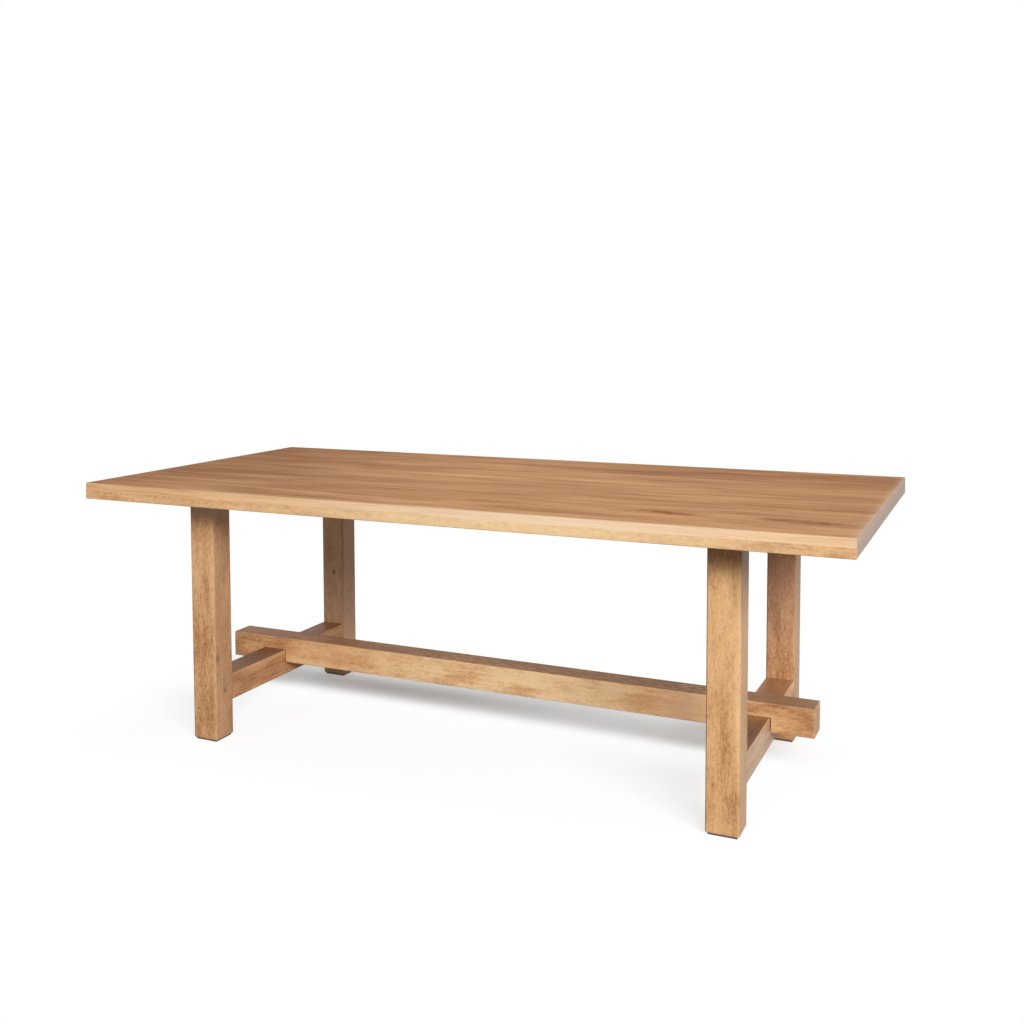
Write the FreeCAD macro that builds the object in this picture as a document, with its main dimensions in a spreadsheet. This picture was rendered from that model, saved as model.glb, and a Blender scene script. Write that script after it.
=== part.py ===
import FreeCAD, Part
import math
import os
import Sketcher

# Rectangular dining table: a thick-edged plank top on four square legs, with a cross stretcher between
# the two legs of each end and one long stretcher that laps down over both cross stretchers.
# Millimetres. The origin is on the floor under the middle of the top; +X runs along the length, +Z is up.

os.makedirs("parts", exist_ok=True)
doc = FreeCAD.newDocument("dining_table")
Vector = FreeCAD.Vector

BOARD_COUNT = 8
PAIR_COUNT = 2
SIZES = (
    ("top_length", 2134, "length of the top"),
    ("top_width", 1067, "width of the top"),
    ("table_height", 762, "floor to the upper face of the top"),
    ("board_thick", 22, "thickness of the top boards"),
    ("lip_thick", 25, "thickness of the lip under the edge, and of the middle batten"),
    ("lip_width", 45, "width of the lip under the edge"),
    ("edge_round", 3, "rounding of the outer edges of the top"),
    ("leg_size", 82, "side of the square leg"),
    ("leg_round", 5, "rounding of the long edges of a leg"),
    ("foot_chamfer", 4, "chamfer round the foot of a leg"),
    ("leg_end_inset", 269, "end of the top to the outer face of a leg"),
    ("leg_side_inset", 135, "side of the top to the outer face of a leg"),
    ("glide_thick", 4, "thickness of the plastic glide under a leg"),
    ("glide_inset", 6, "edge of a glide to the face of its leg"),
    ("cross_width", 80, "width of a cross stretcher"),
    ("cross_height", 78, "height of a cross stretcher"),
    ("cross_bottom", 106, "floor to the underside of a cross stretcher"),
    ("rail_width", 82, "width of the long stretcher"),
    ("rail_height", 78, "height of the long stretcher"),
    ("rail_overhang", 114, "how far the long stretcher runs past a cross stretcher"),
    ("rail_round", 3, "rounding of the long edges of the stretchers"),
    ("rail_end_round", 2, "rounding of the ends of the long stretcher"),
    ("lap_depth", 39, "depth of the notches in the long stretcher"),
    ("lap_gap", 2, "gap on each side of a cross stretcher in its notch"),
    ("lap_ease", 1.5, "chamfer round the mouth of a notch"),
    ("tenon_width", 30, "thickness of a tenon"),
    ("tenon_height", 50, "height of a tenon"),
    ("tenon_length", 42, "length of a tenon"),
    ("glue_space", 2, "free depth behind a tenon"),
    ("fit_gap", 0.2, "clearance across a close fit"),
    ("bolt_gap", 1, "clearance across a bolt in its hole"),
    ("washer_gap", 0.5, "clearance across a bolt in its washer"),
    ("slot_gap", 0.6, "clearance across a screw in its slot"),
    ("blind_spare", 1, "free depth at the end of a blind hole"),
    ("bearer_width", 100, "width of the bearers that join the legs of an end under the top"),
    ("bearer_thick", 40, "thickness of the bearers"),
    ("post_tenon", 50, "side of the square tenon on top of a leg"),
    ("post_tenon_length", 30, "length of the tenon on top of a leg"),
    ("batten_width", 90, "width of the middle batten"),
    ("slot_travel", 4, "free travel of a screw along its slot"),
    ("bolt_dia", 8, "shank of the bolts"),
    ("bolt_head", 13, "bolt head across flats"),
    ("bolt_head_tall", 6, "height of a bolt head"),
    ("bolt_reach", 18, "length of a bolt inside its threaded insert"),
    ("washer_dia", 20, "outer diameter of the washers"),
    ("washer_thick", 1.6, "thickness of the washers"),
    ("insert_dia", 12, "outer diameter of the threaded inserts"),
    ("insert_length", 20, "length of the threaded inserts"),
    ("bolt_sink_dia", 24, "diameter of the bolt recess under a cross stretcher"),
    ("bolt_sink", 20, "depth of the bolt recess under a cross stretcher"),
    ("screw_dia", 7, "shank of the screws into the boards"),
    ("screw_head", 12, "head of those screws across flats"),
    ("screw_head_tall", 5, "head height of those screws"),
    ("screw_grip", 14, "length of those screws inside a board"),
)

sheet = doc.addObject("Spreadsheet::Sheet", "Sizes")
for row, (alias, value, meaning) in enumerate(SIZES, start=1):
    sheet.set("A%d" % row, alias)
    sheet.set("B%d" % row, str(value))
    sheet.set("C%d" % row, meaning)
    sheet.setAlias("B%d" % row, alias)
doc.recompute()

# Derived positions, as expressions on the sheet.
LEG_X = "(Sizes.top_length / 2 - Sizes.leg_end_inset - Sizes.leg_size / 2)"
LEG_Y = "(Sizes.top_width / 2 - Sizes.leg_side_inset - Sizes.leg_size / 2)"
BOARD_WIDTH = "(Sizes.top_width / %d)" % BOARD_COUNT
BOARD_BOTTOM = "(Sizes.table_height - Sizes.board_thick)"
LIP_BOTTOM = "(Sizes.table_height - Sizes.board_thick - Sizes.lip_thick)"
BEARER_BOTTOM = "(%s - Sizes.bearer_thick)" % BOARD_BOTTOM
LEG_HEIGHT = "(%s - Sizes.glide_thick)" % BEARER_BOTTOM
CROSS_TOP = "(Sizes.cross_bottom + Sizes.cross_height)"
CROSS_MIDDLE = "(Sizes.cross_bottom + Sizes.cross_height / 2)"
RAIL_BOTTOM = "(%s - Sizes.lap_depth)" % CROSS_TOP
RAIL_HALF = "(%s + Sizes.cross_width / 2 + Sizes.rail_overhang)" % LEG_X
BATTEN_LENGTH = "(Sizes.top_width - 2 * Sizes.lip_width)"
BEARER_LENGTH = "(2 * %s + Sizes.leg_size)" % LEG_Y

# Screws stand in the middle of a board: the middle batten's in the two outermost boards and two between
# them, the bearers' in the four inner boards.
BATTEN_BOARDS = (0, 2, 5, 7)
BEARER_BOARDS = (2, 3, 4, 5)


def board_middle(index):
    return "(%s * %r)" % (BOARD_WIDTH, index - (BOARD_COUNT - 1) / 2)


def screw_steps(boards):
    near = "%d * %s" % (boards[1] - boards[0], BOARD_WIDTH)
    far = "%d * %s" % (boards[2] - boards[0], BOARD_WIDTH)
    return [("Y", PAIR_COUNT, near), ("Y", PAIR_COUNT, far)]


pieces = []


def number(expression):
    result = sheet.evalExpression(expression.replace("Sizes.", ""))
    return float(getattr(result, "Value", result))


def new_body(label, x="0", y="0", z="0", turn=0):
    body = doc.addObject("PartDesign::Body", label)
    body.Label = label
    body.Placement = FreeCAD.Placement(Vector(), FreeCAD.Rotation(Vector(0, 0, 1), turn))
    for axis, expression in zip("xyz", (x, y, z)):
        body.setExpression("Placement.Base." + axis, expression)
    pieces.append(body)
    return body


def origin_feature(body, role):
    return next(feature for feature in body.Origin.OriginFeatures if feature.Role == role)


def new_sketch(body, name, role, offset=None):
    sketch = body.newObject("Sketcher::SketchObject", name)
    sketch.AttachmentSupport = [(origin_feature(body, role), "")]
    sketch.MapMode = "FlatFace"
    if offset:
        sketch.setExpression("AttachmentOffset.Base.z", offset)
    return sketch


def fix_point(sketch, geometry, point, x, y):
    for kind, axis, expression in (("DistanceX", -2, x), ("DistanceY", -1, y)):
        if expression == "0":
            sketch.addConstraint(Sketcher.Constraint("PointOnObject", geometry, point, axis))
            continue
        rule = Sketcher.Constraint(kind, -1, 1, geometry, point, number(expression))
        index = sketch.addConstraint(rule)
        sketch.setExpression("Constraints[%d]" % index, expression)


def add_polygon(sketch, corners):
    points = [Vector(number(x), number(y), 0) for x, y in corners]
    count = len(points)
    first = sketch.GeometryCount
    for index in range(count):
        sketch.addGeometry(Part.LineSegment(points[index], points[(index + 1) % count]))
    for index in range(count):
        following = first + (index + 1) % count
        sketch.addConstraint(Sketcher.Constraint("Coincident", first + index, 2, following, 1))
    for index, (x, y) in enumerate(corners):
        fix_point(sketch, first + index, 1, x, y)


def add_rectangle(sketch, x_low, x_high, y_low, y_high):
    add_polygon(sketch, ((x_low, y_low), (x_high, y_low), (x_high, y_high), (x_low, y_high)))


def add_circle(sketch, x, y, diameter):
    circle = Part.Circle(Vector(number(x), number(y), 0), Vector(0, 0, 1), number(diameter) / 2)
    index = sketch.addGeometry(circle)
    fix_point(sketch, index, 3, x, y)
    rule = sketch.addConstraint(Sketcher.Constraint("Diameter", index, number(diameter)))
    sketch.setExpression("Constraints[%d]" % rule, diameter)


def add_slot(sketch, y, width, travel):
    # A slot along Y: two half circles joined by two straight sides, centred on x = 0.
    middle = number(y)
    half = number(travel) / 2
    radius = number(width) / 2
    normal = Vector(0, 0, 1)
    upper = Part.Circle(Vector(0, middle + half, 0), normal, radius)
    lower = Part.Circle(Vector(0, middle - half, 0), normal, radius)
    top = sketch.addGeometry(Part.ArcOfCircle(upper, 0, math.pi))
    bottom = sketch.addGeometry(Part.ArcOfCircle(lower, math.pi, 2 * math.pi))
    left_ends = (Vector(-radius, middle + half, 0), Vector(-radius, middle - half, 0))
    right_ends = (Vector(radius, middle - half, 0), Vector(radius, middle + half, 0))
    left = sketch.addGeometry(Part.LineSegment(*left_ends))
    right = sketch.addGeometry(Part.LineSegment(*right_ends))
    for before, after in ((top, left), (left, bottom), (bottom, right), (right, top)):
        sketch.addConstraint(Sketcher.Constraint("Tangent", before, 2, after, 1))
    sketch.addConstraint(Sketcher.Constraint("Vertical", left))
    rule = sketch.addConstraint(Sketcher.Constraint("Diameter", top, 2 * radius))
    sketch.setExpression("Constraints[%d]" % rule, width)
    fix_point(sketch, top, 3, "0", "%s + %s / 2" % (y, travel))
    fix_point(sketch, bottom, 3, "0", "%s - %s / 2" % (y, travel))


def pad(body, sketch, length, symmetric=False, down=False):
    feature = body.newObject("PartDesign::Pad", sketch.Name + "_pad")
    feature.Profile = sketch
    feature.setExpression("Length", length)
    feature.SideType = "Symmetric" if symmetric else "One side"
    feature.Reversed = down
    doc.recompute()
    return feature


def pocket(body, sketch, depth=None, symmetric=False, reverse=False):
    # Cuts to the given depth, or right through; a cut that takes nothing away is an error.
    before = body.Shape.Volume
    feature = body.newObject("PartDesign::Pocket", sketch.Name + "_cut")
    feature.Profile = sketch
    feature.SideType = "Symmetric" if symmetric else "One side"
    feature.Reversed = reverse
    if depth:
        feature.Type = "Length"
        feature.setExpression("Length", depth)
    else:
        feature.Type = "ThroughAll"
    doc.recompute()
    if body.Shape.Volume > before - 1:
        raise RuntimeError("cut removed nothing: " + feature.Name)
    return feature


def edge_names(body, wanted):
    edges = enumerate(body.Shape.Edges, start=1)
    return ["Edge%d" % index for index, edge in edges if wanted(edge)]


def local_middle(body, edge):
    return body.Placement.inverse().multVec(edge.CenterOfMass)


def runs_along(edge, direction):
    line = edge.tangentAt(edge.FirstParameter)
    straight = edge.Curve.TypeId == "Part::GeomLine"
    return straight and abs(abs(line.dot(direction)) - 1) < 1e-6


def dress(body, kind, names, size):
    base = body.Tip
    feature = body.newObject("PartDesign::" + kind, "%s_%s" % (body.Name, kind.lower()))
    feature.Base = (base, names)
    feature.setExpression("Radius" if kind == "Fillet" else "Size", size)
    doc.recompute()
    return feature


def round_along(body, direction, radius):
    dress(body, "Fillet", edge_names(body, lambda edge: runs_along(edge, direction)), radius)


def spread(body, features, steps):
    # Repeats features by one even step after another; each step is (axis, count, total run).
    transform = body.newObject("PartDesign::MultiTransform", body.Name + "_spread")
    patterns = []
    for axis, count, run in steps:
        pattern = body.newObject("PartDesign::LinearPattern", body.Name + "_row")
        pattern.Direction = (origin_feature(body, axis + "_Axis"), [""])
        pattern.Occurrences = count
        pattern.setExpression("Length", run)
        patterns.append(pattern)
    transform.Originals = features
    transform.Transformations = patterns
    body.Tip = transform
    doc.recompute()


# The top: edge-glued boards, the outer ones rounded on the outside.
def make_board(index):
    body = new_body("top_board_%d" % (index + 1), y=board_middle(index), z=BOARD_BOTTOM)
    section = new_sketch(body, "board_section", "YZ_Plane")
    half = BOARD_WIDTH + " / 2"
    add_rectangle(section, "-" + half, half, "0", "Sizes.board_thick")
    pad(body, section, "Sizes.top_length", symmetric=True)
    outer = {0: -1, BOARD_COUNT - 1: 1}.get(index, 0)
    reach = number(half) - 0.01

    def is_outside(edge):
        spot = local_middle(body, edge)
        at_end = abs(spot.x) > number("Sizes.top_length / 2") - 0.01
        on_top = spot.z > number("Sizes.board_thick") - 0.01
        at_side = outer != 0 and spot.y * outer > reach
        return (at_end and on_top) or (at_side and (on_top or at_end))

    dress(body, "Fillet", edge_names(body, is_outside), "Sizes.edge_round")
    places = ["0"] if index in BATTEN_BOARDS else []
    if index in BEARER_BOARDS:
        places += ["-" + LEG_X, LEG_X]
    if places:
        holes = new_sketch(body, "screw_holes", "XY_Plane")
        for x in places:
            add_circle(holes, x, "0", "Sizes.screw_dia + Sizes.fit_gap")
        pocket(body, holes, "Sizes.screw_grip + Sizes.blind_spare", reverse=True)


for board in range(BOARD_COUNT):
    make_board(board)


# The lip under the edge of the top: four strips, mitred at the corners.
def make_lip(label, length, x, y, turn):
    body = new_body(label, x=x, y=y, z=LIP_BOTTOM, turn=turn)
    plan = new_sketch(body, "lip_plan", "XY_Plane")
    half = "%s / 2" % length
    inner = "(%s - Sizes.lip_width)" % half
    corners = (("-" + half, "0"), (half, "0"), (inner, "Sizes.lip_width"), ("-" + inner, "Sizes.lip_width"))
    add_polygon(plan, corners)
    pad(body, plan, "Sizes.lip_thick")

    def is_lower_outer(edge):
        spot = local_middle(body, edge)
        return abs(spot.y) < 0.01 and spot.z < 0.01

    dress(body, "Fillet", edge_names(body, is_lower_outer), "Sizes.edge_round")


make_lip("lip_front", "Sizes.top_length", "0", "-Sizes.top_width / 2", 0)
make_lip("lip_back", "Sizes.top_length", "0", "Sizes.top_width / 2", 180)
make_lip("lip_right", "Sizes.top_width", "Sizes.top_length / 2", "0", 90)
make_lip("lip_left", "Sizes.top_width", "-Sizes.top_length / 2", "0", 270)


# Battens across the underside, slotted so that the boards can move; the outer two are the bearers of the legs.
def make_batten(label, x, length, width, thick, boards):
    body = new_body(label, x=x, z="%s - %s" % (BOARD_BOTTOM, thick))
    section = new_sketch(body, "batten_section", "XZ_Plane")
    half = width + " / 2"
    add_rectangle(section, "-" + half, half, "0", thick)
    pad(body, section, length, symmetric=True)
    slot = new_sketch(body, "slot", "XY_Plane")
    add_slot(slot, board_middle(boards[0]), "(Sizes.screw_dia + Sizes.slot_gap)", "Sizes.slot_travel")
    spread(body, [pocket(body, slot, reverse=True)], screw_steps(boards))
    return body


def make_bearer(label, x):
    body = make_batten(label, x, BEARER_LENGTH, "Sizes.bearer_width", "Sizes.bearer_thick", BEARER_BOARDS)
    sockets = new_sketch(body, "leg_sockets", "XY_Plane")
    half = "(Sizes.post_tenon + Sizes.fit_gap) / 2"
    for middle in ("-" + LEG_Y, LEG_Y):
        add_rectangle(sockets, "-" + half, half, "%s - %s" % (middle, half), "%s + %s" % (middle, half))
    pocket(body, sockets, "Sizes.post_tenon_length + Sizes.blind_spare", reverse=True)


make_bearer("bearer_left", "-" + LEG_X)
make_bearer("bearer_right", LEG_X)
make_batten("batten_middle", "0", BATTEN_LENGTH, "Sizes.batten_width", "Sizes.lip_thick", BATTEN_BOARDS)


# Legs: square posts, tenoned into the bearer above, with a blind mortise for the cross stretcher.
def make_leg(label, x, y, turn):
    body = new_body(label, x=x, y=y, z="Sizes.glide_thick", turn=turn)
    section = new_sketch(body, "leg_section", "XY_Plane")
    half = "Sizes.leg_size / 2"
    add_rectangle(section, "-" + half, half, "-" + half, half)
    pad(body, section, LEG_HEIGHT)
    round_along(body, Vector(0, 0, 1), "Sizes.leg_round")
    foot = edge_names(body, lambda edge: local_middle(body, edge).z < 0.01)
    dress(body, "Chamfer", foot, "min(Sizes.foot_chamfer; 0.9 * Sizes.leg_round)")
    mortise = new_sketch(body, "mortise", "XZ_Plane", offset="-" + half)
    middle = "(%s - Sizes.glide_thick)" % CROSS_MIDDLE
    wide = "(Sizes.tenon_width + Sizes.fit_gap) / 2"
    tall = "(Sizes.tenon_height + Sizes.fit_gap) / 2"
    add_rectangle(mortise, "-" + wide, wide, "%s - %s" % (middle, tall), "%s + %s" % (middle, tall))
    pocket(body, mortise, "Sizes.tenon_length + Sizes.glue_space", reverse=True)
    tenon = new_sketch(body, "post_tenon", "XY_Plane", offset=LEG_HEIGHT)
    post = "Sizes.post_tenon / 2"
    add_rectangle(tenon, "-" + post, post, "-" + post, post)
    pad(body, tenon, "Sizes.post_tenon_length")


# A plastic glide under each leg.
def make_glide(label, x, y):
    body = new_body(label, x=x, y=y)
    plan = new_sketch(body, "glide_plan", "XY_Plane")
    half = "(Sizes.leg_size / 2 - Sizes.glide_inset)"
    add_rectangle(plan, "-" + half, half, "-" + half, half)
    pad(body, plan, "Sizes.glide_thick")


for end, x_sign in (("left", "-"), ("right", "")):
    for side, y_sign, turn in (("front", "-", 0), ("back", "", 180)):
        place = (x_sign + LEG_X, y_sign + LEG_Y)
        make_leg("leg_%s_%s" % (side, end), *place, turn)
        make_glide("foot_glide_%s_%s" % (side, end), *place)


# Cross stretchers: tenoned into the legs, bored from below for the bolt that holds the long stretcher.
def make_cross(label, x):
    body = new_body(label, x=x, z="Sizes.cross_bottom")
    section = new_sketch(body, "cross_section", "XZ_Plane")
    half = "Sizes.cross_width / 2"
    add_rectangle(section, "-" + half, half, "0", "Sizes.cross_height")
    pad(body, section, "2 * %s - Sizes.leg_size" % LEG_Y, symmetric=True)
    round_along(body, Vector(0, 1, 0), "Sizes.rail_round")
    tenon = new_sketch(body, "tenon_section", "XZ_Plane")
    wide = "Sizes.tenon_width / 2"
    low = "(Sizes.cross_height - Sizes.tenon_height) / 2"
    high = "(Sizes.cross_height + Sizes.tenon_height) / 2"
    add_rectangle(tenon, "-" + wide, wide, low, high)
    pad(body, tenon, "2 * %s - Sizes.leg_size + 2 * Sizes.tenon_length" % LEG_Y, symmetric=True)
    bolt_hole = new_sketch(body, "bolt_hole", "XY_Plane")
    add_circle(bolt_hole, "0", "0", "Sizes.bolt_dia + Sizes.bolt_gap")
    pocket(body, bolt_hole, reverse=True)
    recess = new_sketch(body, "bolt_recess", "XY_Plane")
    add_circle(recess, "0", "0", "Sizes.bolt_sink_dia")
    pocket(body, recess, "Sizes.bolt_sink", reverse=True)


make_cross("cross_stretcher_left", "-" + LEG_X)
make_cross("cross_stretcher_right", LEG_X)

# The long stretcher, notched from below so that it drops over both cross stretchers.
rail = new_body("long_stretcher", z=RAIL_BOTTOM)
rail_section = new_sketch(rail, "rail_section", "YZ_Plane")
add_rectangle(rail_section, "-Sizes.rail_width / 2", "Sizes.rail_width / 2", "0", "Sizes.rail_height")
pad(rail, rail_section, "2 * " + RAIL_HALF, symmetric=True)
round_along(rail, Vector(1, 0, 0), "Sizes.rail_round")
rail_ends = edge_names(rail, lambda edge: abs(edge.CenterOfMass.x) > number(RAIL_HALF) - 0.01)
dress(rail, "Fillet", rail_ends, "min(Sizes.rail_end_round; 0.9 * Sizes.rail_round)")
notches = new_sketch(rail, "notches", "XZ_Plane")
notch_half = "(Sizes.cross_width / 2 + Sizes.lap_gap)"
for middle in ("-" + LEG_X, LEG_X):
    low = "%s - %s" % (middle, notch_half)
    high = "%s + %s" % (middle, notch_half)
    add_rectangle(notches, low, high, "-Sizes.lap_gap", "Sizes.lap_depth")
pocket(rail, notches, "2 * Sizes.rail_width", symmetric=True)


def is_notch_mouth(edge):
    spot = local_middle(rail, edge)
    on_side = abs(abs(spot.y) - number("Sizes.rail_width / 2")) < 0.01
    within = abs(abs(spot.x) - number(LEG_X)) < number(notch_half) + 0.01
    return on_side and within and spot.z < number("Sizes.lap_depth") + 0.01


dress(rail, "Chamfer", edge_names(rail, is_notch_mouth), "Sizes.lap_ease")
insert_holes = new_sketch(rail, "insert_holes", "XY_Plane", offset="Sizes.lap_depth")
for middle in ("-" + LEG_X, LEG_X):
    add_circle(insert_holes, middle, "0", "Sizes.insert_dia + Sizes.fit_gap")
pocket(rail, insert_holes, "Sizes.insert_length + Sizes.blind_spare", reverse=True)


# Fasteners: one of each kind is modelled at its first place and repeated.
def make_bolts(label, first, size, length, steps):
    flats, head_tall, shank_dia = size
    body = new_body(label, *first)
    head = new_sketch(body, "head", "XY_Plane")
    radius = "%s / %r" % (flats, math.sqrt(3))
    turns = [math.radians(30 + 60 * index) for index in range(6)]
    compass = [(math.cos(turn), math.sin(turn)) for turn in turns]
    add_polygon(head, [("%s * %.9f" % (radius, x), "%s * %.9f" % (radius, y)) for x, y in compass])
    head_pad = pad(body, head, head_tall, down=True)
    shank = new_sketch(body, "shank", "XY_Plane")
    add_circle(shank, "0", "0", shank_dia)
    shank_pad = pad(body, shank, length)
    spread(body, [head_pad, shank_pad], steps)


def make_rings(label, first, outer, bore, length, steps):
    body = new_body(label, *first)
    ring = new_sketch(body, "ring", "XY_Plane")
    add_circle(ring, "0", "0", outer)
    add_circle(ring, "0", "0", bore)
    spread(body, [pad(body, ring, length)], steps)


END_STEPS = [("X", PAIR_COUNT, "2 * " + LEG_X)]
SCREW_SIZE = ("Sizes.screw_head", "Sizes.screw_head_tall", "Sizes.screw_dia")
BOLT_SIZE = ("Sizes.bolt_head", "Sizes.bolt_head_tall", "Sizes.bolt_dia")

bearer_first = ("-" + LEG_X, board_middle(BEARER_BOARDS[0]), BEARER_BOTTOM)
bearer_reach = "Sizes.bearer_thick + Sizes.screw_grip"
make_bolts("bearer_screws", bearer_first, SCREW_SIZE, bearer_reach, screw_steps(BEARER_BOARDS) + END_STEPS)
batten_first = ("0", board_middle(BATTEN_BOARDS[0]), LIP_BOTTOM)
batten_reach = "Sizes.lip_thick + Sizes.screw_grip"
make_bolts("batten_screws", batten_first, SCREW_SIZE, batten_reach, screw_steps(BATTEN_BOARDS))

rail_seat = "Sizes.cross_bottom + Sizes.bolt_sink - Sizes.washer_thick"
rail_first = ("-" + LEG_X, "0", rail_seat)
rail_reach = "Sizes.washer_thick + Sizes.cross_height - Sizes.bolt_sink + Sizes.bolt_reach"
make_bolts("stretcher_bolts", rail_first, BOLT_SIZE, rail_reach, END_STEPS)
washer_bore = "Sizes.bolt_dia + Sizes.washer_gap"
make_rings("stretcher_washers", rail_first, "Sizes.washer_dia", washer_bore, "Sizes.washer_thick", END_STEPS)
insert_first = ("-" + LEG_X, "0", CROSS_TOP)
insert_bore = "Sizes.bolt_dia + Sizes.fit_gap"
make_rings("stretcher_inserts", insert_first, "Sizes.insert_dia", insert_bore, "Sizes.insert_length", END_STEPS)

# Every piece is checked before it is written.
doc.recompute()
for thing in doc.Objects:
    if "Invalid" in thing.State or "Error" in thing.State:
        raise RuntimeError("object in error: " + thing.Name)
for piece in pieces:
    if piece.Shape.isNull() or not piece.Shape.isValid() or not piece.Shape.Solids:
        raise RuntimeError("bad shape: " + piece.Label)
    piece.Shape.exportStep("parts/%s.step" % piece.Label)
print("pieces written:", len(pieces))
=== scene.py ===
import math

import bpy
from mathutils import Matrix, Vector


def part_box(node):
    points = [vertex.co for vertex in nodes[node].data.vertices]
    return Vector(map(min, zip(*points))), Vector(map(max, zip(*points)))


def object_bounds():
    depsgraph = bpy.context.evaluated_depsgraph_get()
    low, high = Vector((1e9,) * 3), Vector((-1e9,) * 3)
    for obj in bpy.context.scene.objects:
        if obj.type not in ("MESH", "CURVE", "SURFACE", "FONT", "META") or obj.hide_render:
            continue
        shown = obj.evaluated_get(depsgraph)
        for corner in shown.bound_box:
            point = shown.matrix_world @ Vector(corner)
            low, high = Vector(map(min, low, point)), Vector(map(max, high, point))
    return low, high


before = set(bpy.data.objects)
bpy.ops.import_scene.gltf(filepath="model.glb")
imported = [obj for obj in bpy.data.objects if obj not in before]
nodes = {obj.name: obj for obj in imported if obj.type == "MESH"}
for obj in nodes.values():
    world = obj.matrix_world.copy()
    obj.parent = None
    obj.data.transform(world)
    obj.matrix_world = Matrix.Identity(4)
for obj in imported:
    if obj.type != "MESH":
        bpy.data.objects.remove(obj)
cad_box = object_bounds()


# Small helpers for building shader nodes.
class Tree:
    def __init__(self, owner):
        owner.use_nodes = True
        self.tree = owner.node_tree
        self.tree.nodes.clear()

    def add(self, kind, **settings):
        node = self.tree.nodes.new(kind)
        for name, value in settings.items():
            setattr(node, name, value)
        return node

    def put(self, socket, value):
        if isinstance(value, bpy.types.NodeSocket):
            self.tree.links.new(value, socket)
        elif value is not None:
            socket.default_value = value

    def math(self, operation, first, second=None, third=None, clamp=False):
        node = self.add("ShaderNodeMath", operation=operation, use_clamp=clamp)
        for socket, value in zip(node.inputs, (first, second, third)):
            self.put(socket, value)
        return node.outputs[0]

    def times(self, first, second, clamp=False):
        return self.math("MULTIPLY", first, second, clamp=clamp)

    def vector(self, operation, first, second=None):
        node = self.add("ShaderNodeVectorMath", operation=operation)
        self.put(node.inputs[0], first)
        self.put(node.inputs[1], second)
        return node.outputs["Value" if operation == "LENGTH" else "Vector"]

    def scaled(self, vector, factor):
        node = self.add("ShaderNodeVectorMath", operation="SCALE")
        self.put(node.inputs[0], vector)
        self.put(node.inputs["Scale"], factor)
        return node.outputs["Vector"]

    def split(self, vector):
        node = self.add("ShaderNodeSeparateXYZ")
        self.put(node.inputs[0], vector)
        return tuple(node.outputs)

    def place(self, vector, scale=(1, 1, 1), shift=(0, 0, 0)):
        node = self.add("ShaderNodeMapping")
        self.put(node.inputs["Vector"], vector)
        self.put(node.inputs["Scale"], scale)
        self.put(node.inputs["Location"], shift)
        return node.outputs[0]

    def noise(self, vector, scale, detail=2.0, rough=0.5):
        node = self.add("ShaderNodeTexNoise")
        self.put(node.inputs["Vector"], self.place(vector, scale))
        self.put(node.inputs["Scale"], 1.0)
        self.put(node.inputs["Detail"], detail)
        self.put(node.inputs["Roughness"], rough)
        return node

    def ramp(self, value, low, high, to_low=0.0, to_high=1.0, smooth=False):
        node = self.add("ShaderNodeMapRange", interpolation_type="SMOOTHSTEP" if smooth else "LINEAR")
        self.put(node.inputs["Value"], value)
        self.put(node.inputs["From Min"], low)
        self.put(node.inputs["From Max"], high)
        self.put(node.inputs["To Min"], to_low)
        self.put(node.inputs["To Max"], to_high)
        return node.outputs[0]

    def spot(self, position, middle, reach):
        # 1 at the middle, falling smoothly to 0 at the reach along each axis.
        scale = tuple(1 / size for size in reach)
        shift = tuple(-place / size for place, size in zip(middle, reach))
        length = self.vector("LENGTH", self.place(position, scale, shift))
        return self.ramp(length, 1.0, 0.0, smooth=True)

    def mix(self, factor, first, second):
        node = self.add("ShaderNodeMix", data_type="RGBA")
        self.put(node.inputs["Factor"], factor)
        self.put(node.inputs["A"], first)
        self.put(node.inputs["B"], second)
        return node.outputs["Result"]

    def colours(self, value, stops):
        node = self.add("ShaderNodeValToRGB")
        self.put(node.inputs["Fac"], value)
        elements = node.color_ramp.elements
        while len(elements) < len(stops):
            elements.new(0.5)
        for element, (position, colour) in zip(elements, stops):
            element.position = position
            element.color = (*colour, 1)
        return node.outputs["Color"]

    def fill(self, kind, inputs):
        # A node with its inputs filled in; gives its first output.
        node = self.add(kind)
        for name, value in inputs.items():
            self.put(node.inputs[name], value)
        return node.outputs[0]

    def choose(self, factor, first, second):
        return self.fill("ShaderNodeMixShader", {0: factor, 1: first, 2: second})

    def relief(self, height, strength, distance):
        return self.fill("ShaderNodeBump", {"Height": height, "Strength": strength, "Distance": distance})

    def show(self, surface, kind="ShaderNodeOutputMaterial"):
        self.put(self.add(kind).inputs["Surface"], surface)


def dress(node, material):
    data = nodes[node].data
    data.materials.clear()
    data.materials.append(material)


# Wood. One value runs along the palette: 0 is dark, a half is the middle stop and 1 the pale one.
MIDDLE_VALUE = 0.5
DARK = (0.33, 0.143, 0.062)
MID = (0.60, 0.324, 0.151)
PALE = (0.77, 0.488, 0.252)
LIGHT = (0.87, 0.595, 0.34)
PALE_STOP = 0.75
PALETTE = ((0.0, DARK), (PALE_STOP / 2, MID), (PALE_STOP, PALE), (1.0, LIGHT))
PORE_SHARE = 0.55
PORE = tuple(PORE_SHARE * part for part in DARK)
KNOT_AND_PAINTED_SHADE = (0.125, 0.048, 0.022)
RED_KNOT = (0.25, 0.07, 0.026)
BROWN_KNOT = (0.36, 0.135, 0.05)

# Edges: pale ones are wear with a painted highlight, dark ones are painted shade; the colour, then its least
# and greatest amount.
# Wear with a painted highlight, on the lips, stretchers and underside.
PALE_EDGE_WEAR_AND_HIGHLIGHT = ((0.86, 0.62, 0.38), 0.08, 0.28)
# Painted shade along the rounded corners of the legs.
DARK_EDGE_PAINTED_SHADE = ((0.24, 0.12, 0.06), 0.4, 0.65)
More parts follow.
